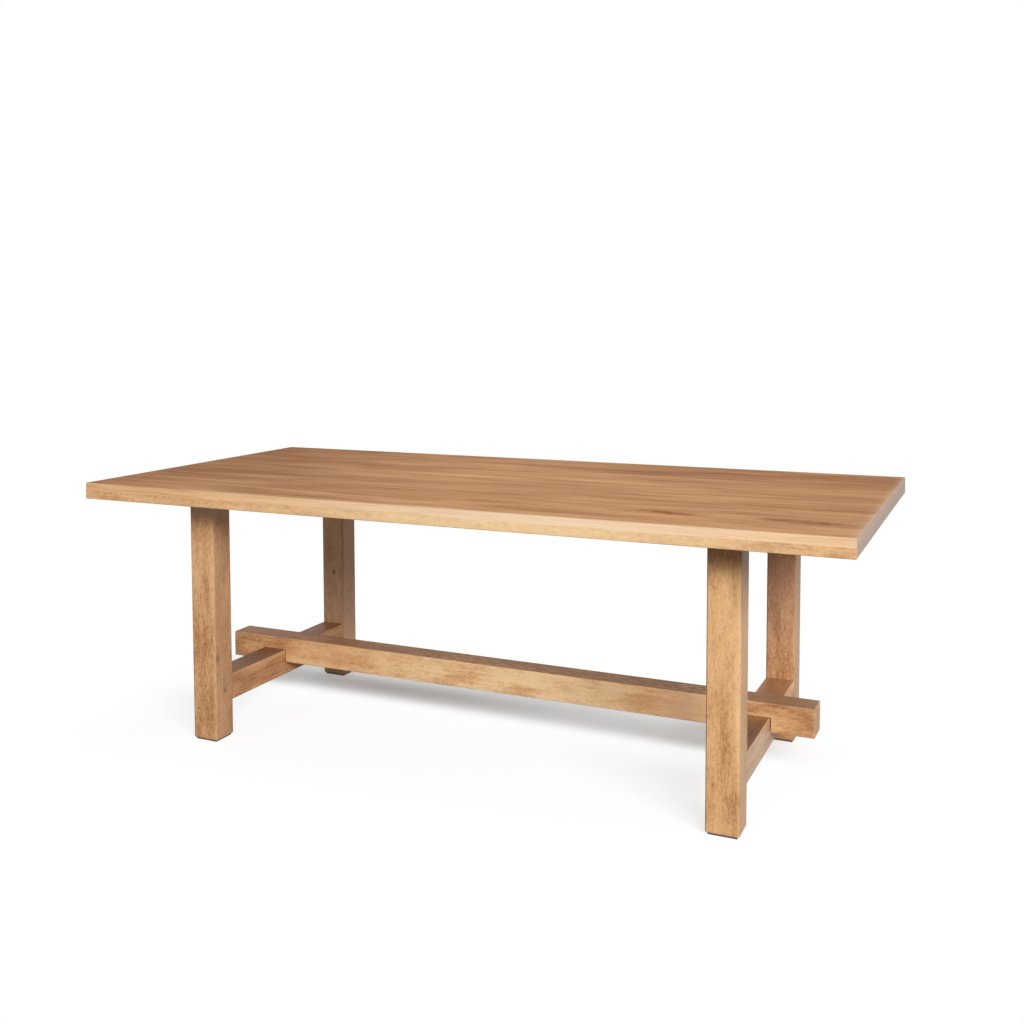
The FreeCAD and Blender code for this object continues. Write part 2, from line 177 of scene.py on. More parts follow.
# Painted shade that dulls the highlight on the edges of the top.
TOP_EDGE_PAINTED_SHADE = ((0.42, 0.31, 0.22), 0.35, 0.5)
EDGE_GONE = 0.0045
EDGE_FULL = 0.0005

# Glue lines between boards: how far from the joint they begin and are full, and their amount.
GLUE_BEGINS = 0.0012
GLUE_FULL = 0.0002
GLUE_AMOUNT = 0.35

# Sizes of noise: cells per metre along the grain and across it.
WANDER_SIZE = (1.3, 5)
FLECK_SIZE = (150, 420)
PORE_SIZE = (70, 900)
CROWN_SIZE = (40, 420)

# How each layer uses its noise: the range in which it comes in, and how strongly it shows.
MEAN_NOISE = 0.5
MOST_NOISE = (0.38, 0.62)
WANDER = 0.035
STREAK_DETAIL_SHARE = 0.55
LINE_DETAIL_SHARE = 0.6
FLECK_RANGE = (0.50, 0.66)
FLECK_MEAN = 0.3
PORE_RANGE = (0.60, 0.74)
PORE_AMOUNT = 0.30
CROWN_RANGE = (0.3, 0.7)
CROWN_SHADES = (0.86, 1.1)
CROWN_EVENNESS = 0.55
FACE_LINES = (0.6, 1.3)
TINT_LINES = (0.8, 1.15)
EDGE_RANGE = (0.3, 0.65)

# Edges that look to the right: the range of the normal's X over which they fade, and the share left there.
LEFT_TO_RIGHT = (-0.2, 0.3)
RIGHT_EDGE_SHARE = 0.15

# Roughness and relief. The depth is in metres.
ROUGH_SPREAD = 0.2
STREAK_RELIEF = 0.7
RELIEF_STRENGTH = 0.3
RELIEF_DEPTH = 0.0006

# Directions that a face can look in: the axis and its sign. The cosines say from where a face counts.
RIGHT = (0, 1)
FRONT = (1, -1)
UP = (2, 1)
FACING = (0.45, 0.75)
SQUARE_ON = (0.6, 0.9)

# The axis along the grain, then the two across it.
GRAIN_AXES = {"X": (0, 1, 2), "Y": (1, 0, 2), "Z": (2, 0, 1)}


def grain_scale(size):
    along, across = size
    return along, across, across


class Wood(Tree):
    # The wood of one piece, built up in layers. Positions are metres in the part's frame.
    def __init__(self, piece, grain, seed):
        self.material = bpy.data.materials.new("wood_" + piece)
        super().__init__(self.material)
        source = self.add("ShaderNodeTexCoord")
        self.position = source.outputs["Object"]
        self.axes = self.split(self.position)
        self.normals = self.split(source.outputs["Normal"])
        order = GRAIN_AXES[grain]
        self.length_axis = order[0]
        join = self.add("ShaderNodeCombineXYZ")
        for socket, axis in zip(join.inputs, order):
            self.put(socket, self.axes[axis])
        self.straight = join.outputs[0]

        # Each seed reads another part of the noise, and the fibres wander a little from side to side.
        along = self.place(self.straight, shift=(seed * 3.17, seed * 1.31 % 7, seed * 0.73 % 5))
        wander = self.noise(along, grain_scale(WANDER_SIZE)).outputs["Color"]
        swing = self.vector("SUBTRACT", wander, (MEAN_NOISE,) * 3)
        swing = self.vector("MULTIPLY", swing, (0.0, WANDER, WANDER))
        self.fibre = self.vector("ADD", along, swing)

    def figure(self, size, detail=3.0, rough=0.5):
        return self.noise(self.fibre, grain_scale(size), detail, rough).outputs["Fac"]

    def near(self, middle, reach):
        return self.spot(self.position, middle, reach)

    def facing(self, direction, amount):
        axis, sign = direction
        return self.ramp(self.times(self.normals[axis], sign), *FACING, 0.0, amount)

    def square_on(self, axis, amount=1.0):
        return self.ramp(self.math("ABSOLUTE", self.normals[axis]), *SQUARE_ON, 0.0, amount)

    def paint(self, mask, shade):
        self.colour = self.mix(mask, self.colour, (*shade, 1))

    def add_ground(self, tone, streaks, fine, fleck, broad, streak_size, fine_size, broad_size, patches):
        # Streaks, fine lines, flecks and a slow change of tone, each less its mean, add up to one value.
        self.streak = self.figure(streak_size, rough=STREAK_DETAIL_SHARE)
        self.lines = self.figure(fine_size, rough=LINE_DETAIL_SHARE)
        self.slow = self.figure(broad_size)
        flecks = self.ramp(self.figure(FLECK_SIZE, detail=1.0), *FLECK_RANGE)
        layers = ((self.streak, streaks), (self.lines, fine), (flecks, -fleck), (self.slow, broad))
        value = MIDDLE_VALUE + tone - (streaks + fine + broad) * MEAN_NOISE + fleck * FLECK_MEAN
        for layer, amount in layers:
            value = self.math("MULTIPLY_ADD", layer, amount, value)
        for middle, reach, amount in patches:
            value = self.math("MULTIPLY_ADD", self.near(middle, reach), amount, value)
        self.colour = self.colours(self.times(value, PALE_STOP), PALETTE)

    def add_pores(self):
        # Short dark dashes along the grain.
        self.pores = self.ramp(self.figure(PORE_SIZE, detail=1.0), *PORE_RANGE)
        self.paint(self.times(self.pores, PORE_AMOUNT), PORE)

    def add_knots(self, knots, shade, torn_size):
        # Knots and dark streaks, and on the legs the painted shade under the top; the less solid ones are
        # torn along the fibres.
        torn = self.figure(torn_size)
        for middle, reach, amount, solid in knots:
            body = self.ramp(torn, *MOST_NOISE, solid * amount, amount)
            self.paint(self.times(self.near(middle, reach), body, clamp=True), shade)

    def add_end_grain(self, tint):
        # Small rings and dots instead of streaks.
        crown = self.noise(self.straight, grain_scale(CROWN_SIZE), detail=3.0).outputs["Fac"]
        base = self.vector("MULTIPLY", self.mix(CROWN_EVENNESS, self.colour, (*MID, 1)), tint)
        ends = self.scaled(base, self.ramp(crown, *CROWN_RANGE, *CROWN_SHADES))
        self.colour = self.mix(self.square_on(self.length_axis), self.colour, ends)

    def add_stains_and_painted_light(self, faces, tints):
        # Whole faces, then places on faces, painted in another colour: some as stain, others as painted
        # shade, light, sheen and highlight.
        for direction, shade, amount in faces:
            lines = self.ramp(self.lines, *MOST_NOISE, *FACE_LINES)
            self.paint(self.times(self.facing(direction, amount), lines, clamp=True), shade)
        for middle, reach, direction, shade, amount in tints:
            place = self.times(self.facing(direction, amount), self.near(middle, reach))
            lines = self.ramp(self.lines, *MOST_NOISE, *TINT_LINES)
            self.paint(self.times(place, lines, clamp=True), shade)

    def edge_distance(self, box):
        # From a point on a box to the box's nearest edge: the middle one of the distances to its faces.
        low, high = box
        away = self.vector("ABSOLUTE", self.vector("SUBTRACT", self.position, (low + high) / 2))
        x, y, z = self.split(self.vector("SUBTRACT", (high - low) / 2, away))
        lower = self.math("MINIMUM", x, y)
        upper = self.math("MAXIMUM", x, y)
        return self.math("MAXIMUM", lower, self.math("MINIMUM", upper, z))

    def add_edges(self, box, edge_wear_and_light, less_on_right):
        # Edges made paler as wear with a painted highlight, or darker as painted shade; on some pieces less
        # where they look to the right.
        shade, least, greatest = edge_wear_and_light
        edge = self.ramp(self.edge_distance(box), EDGE_GONE, EDGE_FULL, smooth=True)
        mask = self.times(edge, self.ramp(self.slow, *EDGE_RANGE, least, greatest))
        if less_on_right:
            mask = self.times(mask, self.ramp(self.normals[0], *LEFT_TO_RIGHT, 1.0, RIGHT_EDGE_SHARE))
        self.paint(mask, shade)

    def add_glue_lines(self, low, high):
        # Faint lines along the joints at the two sides of a board.
        half = (high - low) / 2
        across = self.math("ABSOLUTE", self.math("SUBTRACT", self.axes[1], (low + high) / 2))
        line = self.ramp(across, half - GLUE_BEGINS, half - GLUE_FULL)
        self.paint(self.times(line, self.square_on(2, GLUE_AMOUNT)), DARK)

    def finish(self, gloss, rough):
        height = self.math("SUBTRACT", self.times(self.streak, STREAK_RELIEF), self.pores)
        self.show(self.fill("ShaderNodeBsdfPrincipled", {
            "Base Color": self.colour,
            "Roughness": self.math("MULTIPLY_ADD", self.streak, ROUGH_SPREAD, rough - ROUGH_SPREAD / 2),
            "Specular IOR Level": gloss,
            "Normal": self.relief(height, RELIEF_STRENGTH, RELIEF_DEPTH),
        }))
        return self.material


# Wood on a piece. All spots begin with their middle and their reach along each axis, in metres.
# A patch then has an amount.
# A knot then has an amount and how solid it is.
# A tint then has a direction, a shade and an amount.
def dress_in_wood(piece, grain, seed, tone=0.0, streaks=0.9, fine=0.5, fleck=0.3, broad=0.8,
                  streak_size=(2.4, 75), fine_size=(9, 170), broad_size=(3, 16), torn_size=(9, 85),
                  patches=(), knots=(), knot_shade=KNOT_AND_PAINTED_SHADE, faces=(), tints=(), end_tint=(0.92, 0.92, 0.92),
                  box=None, edge_wear_and_light=PALE_EDGE_WEAR_AND_HIGHLIGHT, less_on_right=False, joints=None, gloss=0.15, rough=0.48):
    wood = Wood(piece, grain, seed)
    wood.add_ground(tone, streaks, fine, fleck, broad, streak_size, fine_size, broad_size, patches)
    wood.add_pores()
    if knots:
        wood.add_knots(knots, knot_shade, torn_size)
    wood.add_end_grain(end_tint)
    wood.add_stains_and_painted_light(faces, tints)
    wood.add_edges(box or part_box(piece), edge_wear_and_light, less_on_right)
    if joints:
        wood.add_glue_lines(*joints)
    dress(piece, wood.finish(gloss, rough))


# The top: eight boards over a lip. Its places come from the frame.
TOP = cad_box[1].z
FRONT_EDGE = cad_box[0].y
RIGHT_END = cad_box[1].x
TOP_BOX = (Vector((*cad_box[0].xy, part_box("lip_front")[0].z)), cad_box[1])
EVERYWHERE = 9
# Painted sheen on the right ends, on the top next to them, and on the front edge.
RIGHT_END_PAINTED_SHEEN = (0.49, 0.40, 0.348)
TOP_BY_END_PAINTED_SHEEN = (0.66, 0.50, 0.37)
FRONT_PAINTED_SHEEN = (0.82, 0.50, 0.255)
FRONT_EDGE_PAINTED_SHEEN = (0.86, 0.66, 0.46)


def top_spot(x, y, reach_x, reach_y, *strength, reach_down=0.1):
    return (x, y, TOP), (reach_x, reach_y, reach_down), *strength


BOARD_LOOK = {
    "streaks": 0.7, "fine": 0.9, "fleck": 0.1, "broad": 1.0,
    "streak_size": (3.2, 36), "fine_size": (4, 230), "broad_size": (2.2, 14), "torn_size": (36, 60),
    "knot_shade": RED_KNOT, "box": TOP_BOX, "edge_wear_and_light": TOP_EDGE_PAINTED_SHADE, "gloss": 0.02, "rough": 0.6,
}
BOARD_TONE = {1: -0.11, 2: -0.11, 3: -0.12, 4: -0.10, 5: -0.06, 6: -0.10, 7: -0.14, 8: -0.16}
BOARD_PATCHES = {
    1: [top_spot(-0.58, -0.441, 0.12, 0.03, -0.12), top_spot(-0.84, -0.434, 0.12, 0.03, -0.10)],
    2: [top_spot(0.59, -0.366, 0.22, 0.05, -0.18), top_spot(0.932, -0.366, 0.2, 0.05, -0.16),
        top_spot(-0.45, -0.3, 0.35, 0.2, -0.09)],
    3: [top_spot(-0.355, -0.22, 0.2, 0.03, 0.2), top_spot(0.213, -0.28, 0.25, 0.03, 0.18)],
    4: [top_spot(-0.43, -0.114, 0.2, 0.03, -0.22), top_spot(-0.28, -0.124, 0.2, 0.02, -0.16)],
    5: [top_spot(0.285, 0.092, 0.3, 0.035, 0.2), top_spot(-0.07, 0.064, 0.28, 0.045, 0.26)],
    6: [],
    7: [top_spot(0.07, 0.35, 0.35, 0.045, -0.2), top_spot(0.57, 0.391, 0.2, 0.03, -0.22)],
    8: [top_spot(0.84, 0.41, 0.2, 0.05, -0.2), top_spot(1.03, 0.41, 0.15, 0.05, -0.15)],
}
WHOLE_TOP_PATCHES_AND_PAINTED_REFLECTION = [
    top_spot(1.05, 0.3, 0.6, 0.9, -0.12, reach_down=0.3),
    # The left end of the top is darkened as a painted reflection.
    top_spot(-1.0, 0.05, 0.85, 0.9, -0.36, reach_down=0.3),
    top_spot(0.7, 0.42, 0.9, 0.28, -0.2),
    top_spot(-0.42, -0.36, 0.38, 0.3, -0.14),
    top_spot(0.0, -0.42, 0.3, 0.2, 0.12),
    top_spot(0.85, 0.07, 0.25, 0.08, 0.15),
    top_spot(-0.85, 0.33, 0.25, 0.09, 0.16),
    top_spot(0.4, 0.33, 0.7, 0.08, -0.12),
    top_spot(0.65, 0.2, 0.5, 0.08, -0.1),
]

# Two clusters of knots on the second board, each a faint halo with darker cores, and a few dark streaks.
BOARD_KNOTS = {
    2: [top_spot(0.60, -0.372, 0.17, 0.042, 0.4, 0.45),
        top_spot(0.57, -0.362, 0.055, 0.034, 0.7, 0.2),
        top_spot(0.612, -0.375, 0.055, 0.034, 0.95, 0.25),
        top_spot(0.655, -0.38, 0.055, 0.03, 0.75, 0.2),
        top_spot(0.93, -0.376, 0.17, 0.045, 0.36, 0.45),
        top_spot(0.87, -0.368, 0.05, 0.034, 0.75, 0.2),
        top_spot(0.905, -0.378, 0.055, 0.034, 0.95, 0.25),
        top_spot(0.95, -0.372, 0.055, 0.03, 0.7, 0.2),
        top_spot(0.99, -0.382, 0.055, 0.03, 0.8, 0.2),
        top_spot(0.03, -0.394, 0.3, 0.006, 0.5, 0.0)],
    4: [top_spot(-0.44, -0.114, 0.1, 0.012, 0.45, 0.0), top_spot(-0.3, -0.124, 0.1, 0.008, 0.35, 0.0)],
    7: [top_spot(0.57, 0.391, 0.14, 0.014, 0.4, 0.0)],
}


def dress_boards():
    for index, tone in BOARD_TONE.items():
        board = "top_board_%d" % index
        low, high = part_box(board)
        # Painted sheen on the right end and on the top beside it.
        faces = [(RIGHT, RIGHT_END_PAINTED_SHEEN, 0.8)]
        tints = [((RIGHT_END, 0, TOP), (0.024, EVERYWHERE, EVERYWHERE), UP, TOP_BY_END_PAINTED_SHEEN, 0.3)]
        # Painted sheen on the front of the first board, strongest a little right of the middle.
        if index == 1:
            faces.append((FRONT, FRONT_PAINTED_SHEEN, 0.8))
            tints.append(((0.35, FRONT_EDGE, 0.75), (1.2, 0.1, 0.1), FRONT, FRONT_EDGE_PAINTED_SHEEN, 0.75))
        dress_in_wood(board, "X", index, tone, patches=BOARD_PATCHES[index] + WHOLE_TOP_PATCHES_AND_PAINTED_REFLECTION,
                      knots=BOARD_KNOTS.get(index, ()), faces=faces, tints=tints, joints=(low.y, high.y),
                      **BOARD_LOOK)


# The lip under the edge of the boards.
LIP_GRAIN = {"front": "X", "back": "X", "right": "Y", "left": "Y"}
LIP_SEED = 11
LIP_LOOK = {
    "tone": 0.06, "streaks": 0.8, "fine": 0.8, "fleck": 0.35, "broad": 1.4,
    "fine_size": (60, 150), "broad_size": (9, 40), "box": TOP_BOX, "gloss": 0.03, "rough": 0.55,
}
LIP_PATCHES = {
    "front": [((0.15, FRONT_EDGE, 0.73), (0.6, 0.2, 0.2), 0.10),
              ((0.95, FRONT_EDGE, 0.73), (0.4, 0.1, 0.1), -0.1),
              ((-0.5, FRONT_EDGE, 0.73), (0.5, 0.1, 0.1), 0.12)],
}
LIP_KNOTS = {
    "front": [((1.01, FRONT_EDGE, 0.724), (0.06, 0.03, 0.012), 0.4, 0.0),
              ((0.87, FRONT_EDGE, 0.732), (0.1, 0.03, 0.01), 0.3, 0.0),
              ((0.6, FRONT_EDGE, 0.722), (0.12, 0.03, 0.008), 0.25, 0.0)],
}
LIP_PAINTED_SHEEN = {
    # Painted sheen across the middle of the front.
    "front": [((0.25, FRONT_EDGE, 0.735), (1.0, 0.1, 0.1), FRONT, (0.84, 0.60, 0.335), 0.85)],
    # Painted sheen on the right end, greyer and darker than on the boards.
    "right": [((RIGHT_END, 0, 0.73), (EVERYWHERE,) * 3, RIGHT, (0.385, 0.307, 0.258), 0.7)],
}


def dress_lips():
    for index, (side, grain) in enumerate(LIP_GRAIN.items()):
        # Painted sheen on the right end of the right lip, and on what faces the front on the others.
        faces = [(RIGHT, RIGHT_END_PAINTED_SHEEN, 0.8)] if side == "right" else [(FRONT, FRONT_PAINTED_SHEEN, 0.3)]
        dress_in_wood("lip_" + side, grain, LIP_SEED + index, patches=LIP_PATCHES.get(side, ()),
                      knots=LIP_KNOTS.get(side, ()), faces=faces, tints=LIP_PAINTED_SHEEN.get(side, ()), **LIP_LOOK)


# Legs: flecked, with a few small knots. Their places are measured from the leg's axis and from the floor.
LEG_LOW, LEG_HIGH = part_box("leg_front_left")
LEG_FACE = (LEG_HIGH.x - LEG_LOW.x) / 2


def on_front(across, height):
    return across, -LEG_FACE, height


def on_right(across, height):
    return LEG_FACE, across, height


LEG_SEED = 21
LEG_LOOK = {
    "streaks": 0.75, "fine": 1.2, "fleck": 0.35, "broad": 1.2,
    "streak_size": (8, 60), "fine_size": (55, 190), "broad_size": (6, 22), "edge_wear_and_light": DARK_EDGE_PAINTED_SHADE,
}
LEG_TONE = {"front_left": -0.08, "front_right": 0.08, "back_left": 0.0, "back_right": -0.12}
LEG_PATCHES_AND_PAINTED_LIGHT = {
    "front_left": [(on_front(0.0, 0.52), (0.1, 0.03, 0.25), 0.12),
                   # A pale strip along the front face's right corner, a painted highlight.
                   (on_front(0.034, 0.43), (0.016, 0.02, 0.36), 0.35),
                   (on_front(0.0, 0.05), (0.1, 0.03, 0.14), -0.16)],
    "front_right": [(on_front(0.0, 0.53), (0.1, 0.03, 0.27), 0.28),
                    # A pale strip along the front face's right corner, a painted highlight.
                    (on_front(0.034, 0.40), (0.014, 0.02, 0.36), 0.35),
                    (on_front(0.008, 0.24), (0.028, 0.03, 0.17), -0.4),
                    (on_front(-0.022, 0.33), (0.022, 0.03, 0.07), -0.25),
                    (on_front(0.028, 0.09), (0.022, 0.03, 0.045), -0.4)],
    # The back left leg is darker low down and paler high up, as painted shade and painted light.
    "back_left": [(on_front(0.0, 0.21), (0.2, 0.2, 0.1), -0.15),
                  ((0.0, -0.0175, 0.5), (0.2, 0.2, 0.2), 0.25)],
    # Painted shade on the upper front of the back right leg.
    "back_right": [(on_front(0.0, 0.52), (0.2, 0.2, 0.17), -0.48)],
}
LEG_KNOTS = {
    "front_left": [(on_right(-0.0295, 0.245), (0.02, 0.012, 0.020), 1.1, 1.0),
                   (on_right(0.0015, 0.145), (0.02, 0.012, 0.013), 1.0, 1.0),
                   (on_right(0.0165, 0.157), (0.02, 0.007, 0.009), 0.45, 1.0),
                   (on_right(0.0235, 0.36), (0.02, 0.014, 0.08), 0.3, 1.0)],
    "front_right": [(on_front(0.030, 0.60), (0.020, 0.03, 0.11), 0.5, 0.6),
                    (on_front(0.018, 0.12), (0.03, 0.03, 0.09), 0.25, 0.0)],
    "back_left": [(on_front(0.004, 0.362), (0.010, 0.02, 0.014), 1.2, 1.0),
                  (on_front(0.002, 0.31), (0.03, 0.03, 0.05), 0.25, 0.0)],
    "back_right": [(on_front(-0.014, 0.384), (0.016, 0.03, 0.017), 0.6, 0.0),
                   (on_front(-0.007, 0.345), (0.025, 0.03, 0.06), 0.45, 0.0),
                   (on_front(0.025, 0.432), (0.014, 0.03, 0.014), 0.5, 0.0)],
}

# Painted shade where a leg meets the underside of the top: the reach down the leg and the amount.
UNDER_TOP = (0.0, 0.0, 0.705)
UNDER_TOP_PAINTED_SHADE = {
    "front_left": (0.07, 0.1),
    "front_right": (0.117, 1.0),
    "back_left": (0.07, 0.4),
    "back_right": (0.07, 0.5),
}
# Whole faces: right faces darker as painted shade, and the back left one paler as painted light; the front
# of the back left leg greyed as painted shade, the front right leg's front stained more golden.
LEG_FACES_STAIN_AND_PAINTED_LIGHT = {
    "front_left": [(RIGHT, (0.45, 0.265, 0.15), 0.42)],
    "front_right": [(RIGHT, (0.42, 0.285, 0.175), 0.55), (FRONT, (0.70, 0.405, 0.165), 0.28)],
    "back_left": [(RIGHT, (0.64, 0.385, 0.255), 0.75), (FRONT, (0.50, 0.36, 0.27), 0.35)],
    "back_right": [(RIGHT, (0.42, 0.285, 0.175), 0.5)],
}
# Painted shade high on the legs under the table top: cool grey on the front left leg, dark on the upper
# right face of the front right leg and the upper front of the back right leg.
LEG_PAINTED_SHADE = {
    "front_left": [(on_front(0.0, 0.715), (0.2, 0.2, 0.08), FRONT, (0.45, 0.36, 0.31), 0.65),
                   (on_right(0.0, 0.715), (0.2, 0.2, 0.08), RIGHT, (0.72, 0.56, 0.45), 0.75)],
    "front_right": [(on_right(-0.082, 0.59), (0.2, 0.2, 0.14), RIGHT, (0.28, 0.17, 0.10), 0.78)],
    "back_left": [],
    "back_right": [(on_front(0.0, 0.5), (0.2, 0.2, 0.35), FRONT, (0.46, 0.27, 0.18), 0.45)],
}


def from_axis(axis, spots):
    return [(axis + Vector(middle), *rest) for middle, *rest in spots]


def dress_legs():
    for index, (leg, tone) in enumerate(LEG_TONE.items()):
        piece = "leg_" + leg
        low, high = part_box(piece)
        axis = Vector((*((low + high) / 2).xy, 0.0))
        reach_down, amount = UNDER_TOP_PAINTED_SHADE[leg]
        # The painted shade under the top goes in with the knots, in the knot colour.
        knots = LEG_KNOTS[leg] + [(UNDER_TOP, (0.3, 0.3, reach_down), amount, 1.0)]
        dress_in_wood(piece, "Z", LEG_SEED + index, tone, patches=from_axis(axis, LEG_PATCHES_AND_PAINTED_LIGHT[leg]),
                      knots=from_axis(axis, knots), faces=LEG_FACES_STAIN_AND_PAINTED_LIGHT[leg],
                      tints=from_axis(axis, LEG_PAINTED_SHADE[leg]), less_on_right=leg != "back_left", **LEG_LOOK)


# Cross stretchers: painted shade on top, darkest towards the front; for each side the place along Y, the
# reach and the amount of the darkest part.
CROSS_SEED = 31
CROSS_LOOK = {"streaks": 1.2, "broad": 1.4, "broad_size": (6, 22)}
CROSS_TONE = {"left": -0.26, "right": -0.14}
CROSS_TOP_PAINTED_SHADE_AMOUNT = {"left": 0.9, "right": 0.45}
CROSS_PAINTED_SHADE_PLACE = {"left": (-0.12, 0.24, 0.65), "right": (-0.2, 0.26, 0.8)}
CROSS_PAINTED_SHADE = (0.15, 0.068, 0.032)
CROSS_PAINTED_SHEEN = (0.52, 0.42, 0.335)


def dress_cross_stretchers():
    for index, (side, tone) in enumerate(CROSS_TONE.items()):
        piece = "cross_stretcher_" + side
        low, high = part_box(piece)
        place, reach, amount = CROSS_PAINTED_SHADE_PLACE[side]
        tints = [(((low.x + high.x) / 2, place, high.z), (0.2, reach, 0.1), UP, CROSS_PAINTED_SHADE, amount)]
        if side == "right":
            # Painted sheen on the right face of the right stretcher.
            tints.append(((high.x, -0.2, 0.14), (0.2, 0.5, 0.2), RIGHT, CROSS_PAINTED_SHEEN, 0.45))
        faces = [(UP, DARK, CROSS_TOP_PAINTED_SHADE_AMOUNT[side])]
        dress_in_wood(piece, "Y", CROSS_SEED + index, tone, faces=faces, tints=tints, **CROSS_LOOK)


# The long stretcher: mottled, paler in the middle and darker at its ends. Spots on its front share a height.
LONG_LOW, LONG_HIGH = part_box("long_stretcher")
LONG_HEIGHT = 0.18


def long_spot(x, reach, *strength):
    return (x, LONG_LOW.y, LONG_HEIGHT), (reach, 0.2, 0.2), *strength


def long_top_spot(x, reach, *strength):
    return (x, 0.0, LONG_HIGH.z), (reach, 0.2, 0.2), *strength


def long_knot(x, height, reach_x, reach_up, amount, solid):
    return (x, LONG_LOW.y, height), (reach_x, 0.03, reach_up), amount, solid


LONG_SEED = 35
LONG_LOOK = {
    "tone": 0.35, "streaks": 1.1, "fine": 1.4, "fleck": 0.25, "broad": 2.1,
    "streak_size": (6, 70), "fine_size": (50, 180), "broad_size": (8, 24),
    "knot_shade": BROWN_KNOT, "end_tint": (0.82, 0.92, 1.04), "gloss": 0.08,
}
# Painted shade on the top of the long stretcher, under the table top.
LONG_TOP_PAINTED_SHADE = (0.33, 0.152, 0.074)
LONG_PATCHES_AND_PAINTED_LIGHT = [
    long_spot(0.15, 0.5, 0.25),
    long_spot(0.86, 0.2, -0.6),
    # Painted light over the shadow of the front right leg.
    long_spot(0.58, 0.13, 0.4),
    long_spot(-0.70, 0.3, -0.2),
    long_spot(0.36, 0.12, 0.28),
    long_spot(0.71, 0.08, -0.25),
    long_spot(-0.84, 0.13, -0.55),
    long_spot(-0.2, 0.2, 0.18),
]
LONG_KNOTS = [
    long_knot(-0.03, 0.2, 0.07, 0.02, 0.35, 0.0),
    long_knot(0.24, 0.188, 0.05, 0.02, 0.4, 0.3),
    long_knot(0.45, 0.186, 0.14, 0.03, 0.4, 0.3),
    long_knot(0.31, 0.198, 0.05, 0.02, 0.35, 0.3),
    long_knot(-0.735, 0.20, 0.08, 0.035, 0.6, 0.8),
    long_knot(0.61, 0.172, 0.17, 0.06, 0.4, 0.0),
]
LONG_TINTS_AND_PAINTED_LIGHT = [
    long_spot(-0.55, 0.45, FRONT, (0.68, 0.34, 0.145), 0.32),
    # Painted light over the shadow of the front right leg.
    long_spot(0.55, 0.25, FRONT, (0.98, 0.53, 0.28), 0.4),
    long_spot(0.87, 0.14, FRONT, (0.56, 0.285, 0.13), 0.35),
    # The top at the two ends gets a lighter, greyer painted shade.
    long_top_spot(-0.87, 0.2, UP, (0.55, 0.32, 0.20), 0.5),
    long_top_spot(0.87, 0.2, UP, (0.40, 0.235, 0.137), 0.5),
]


def dress_long_stretcher():
    dress_in_wood("long_stretcher", "X", LONG_SEED, patches=LONG_PATCHES_AND_PAINTED_LIGHT, knots=LONG_KNOTS,
                  faces=[(UP, LONG_TOP_PAINTED_SHADE, 0.75)], tints=LONG_TINTS_AND_PAINTED_LIGHT, **LONG_LOOK)


# Bearers and batten under the top: plain, with their seeds.
UNDERSIDE_SEED = {"bearer_left": 41, "bearer_right": 42, "batten_middle": 45}


def dress_underside():
    for piece, seed in UNDERSIDE_SEED.items():
        dress_in_wood(piece, "Y", seed, tone=-0.15, gloss=0.3, rough=0.6)


# Dark plastic glides and zinc-plated steel fasteners.
PLAIN_RELIEF_STRENGTH = 0.2
PLAIN_RELIEF_DEPTH = 0.0002


def plain(name, colour, second, metallic, rough, grain_size):
    material = bpy.data.materials.new(name)
    tree = Tree(material)
    space = tree.add("ShaderNodeTexCoord").outputs["Object"]
    grain = tree.noise(space, (grain_size,) * 3, detail=4.0, rough=0.6).outputs["Fac"]
    tree.show(tree.fill("ShaderNodeBsdfPrincipled", {
        "Base Color": tree.mix(grain, (*colour, 1), (*second, 1)),
        "Roughness": tree.math("MULTIPLY_ADD", grain, ROUGH_SPREAD, rough - ROUGH_SPREAD / 2),
        "Metallic": metallic,
        "Normal": tree.relief(grain, PLAIN_RELIEF_STRENGTH, PLAIN_RELIEF_DEPTH),
    }))
    return material


FASTENERS = ("bearer_screws", "batten_screws", "stretcher_bolts", "stretcher_washers", "stretcher_inserts")


def dress_hardware():
    plastic = plain("glide_plastic", colour=(0.030, 0.024, 0.020), second=(0.06, 0.05, 0.043),
                    metallic=0.0, rough=0.6, grain_size=400)
    zinc = plain("zinc", colour=(0.48, 0.48, 0.49), second=(0.62, 0.62, 0.62),
                 metallic=1.0, rough=0.35, grain_size=250)
    for leg in LEG_TONE:
        dress("foot_glide_" + leg, plastic)
    for group in FASTENERS:
        dress(group, zinc)


# Floor: seen as white, with a shadow that is kept near the stretchers and fades away from the table.
FLOOR_HALF = 30.0
FLOOR_GREY = (0.4, 0.4, 0.4, 1)
FLOOR_LIT = (0.905, 0.95, 0.985, 1)
FLOOR_GLOW = (0.975, 1.0, 1.0, 1)
GLOW_STRENGTH = 0.35
# A painted shadow: the glow is dimmed at a spot behind the left half of the long stretcher.
GLOW_LOST_TO_PAINTED_SHADOW = -0.17
PAINTED_SHADOW_MIDDLE = (-0.5, 0.26, 0.0)
PAINTED_SHADOW_REACH = (0.8, 0.12, 1.0)
WHITE = (1, 1, 1, 1)

# Where the shadow comes and goes, in metres along Y and, for its sides, away from the middle along X.
SHADOW_COMES = (0.095, 0.215)
SHADOW_GOES = (0.36, 0.50)
SHADOW_SIDES = (1.0, 1.35)
SHADOW_NEAR = (-0.9, -0.5)
FAINT_SHADOW = (0.07, -0.08)
FAINT_AMOUNTS = (0.15, 0.33)


def seen_rays(tree):
    path = tree.add("ShaderNodeLightPath")
    shiny = tree.math("MAXIMUM", path.outputs["Is Glossy Ray"], path.outputs["Is Transmission Ray"])
    return tree.math("MAXIMUM", path.outputs["Is Camera Ray"], shiny)


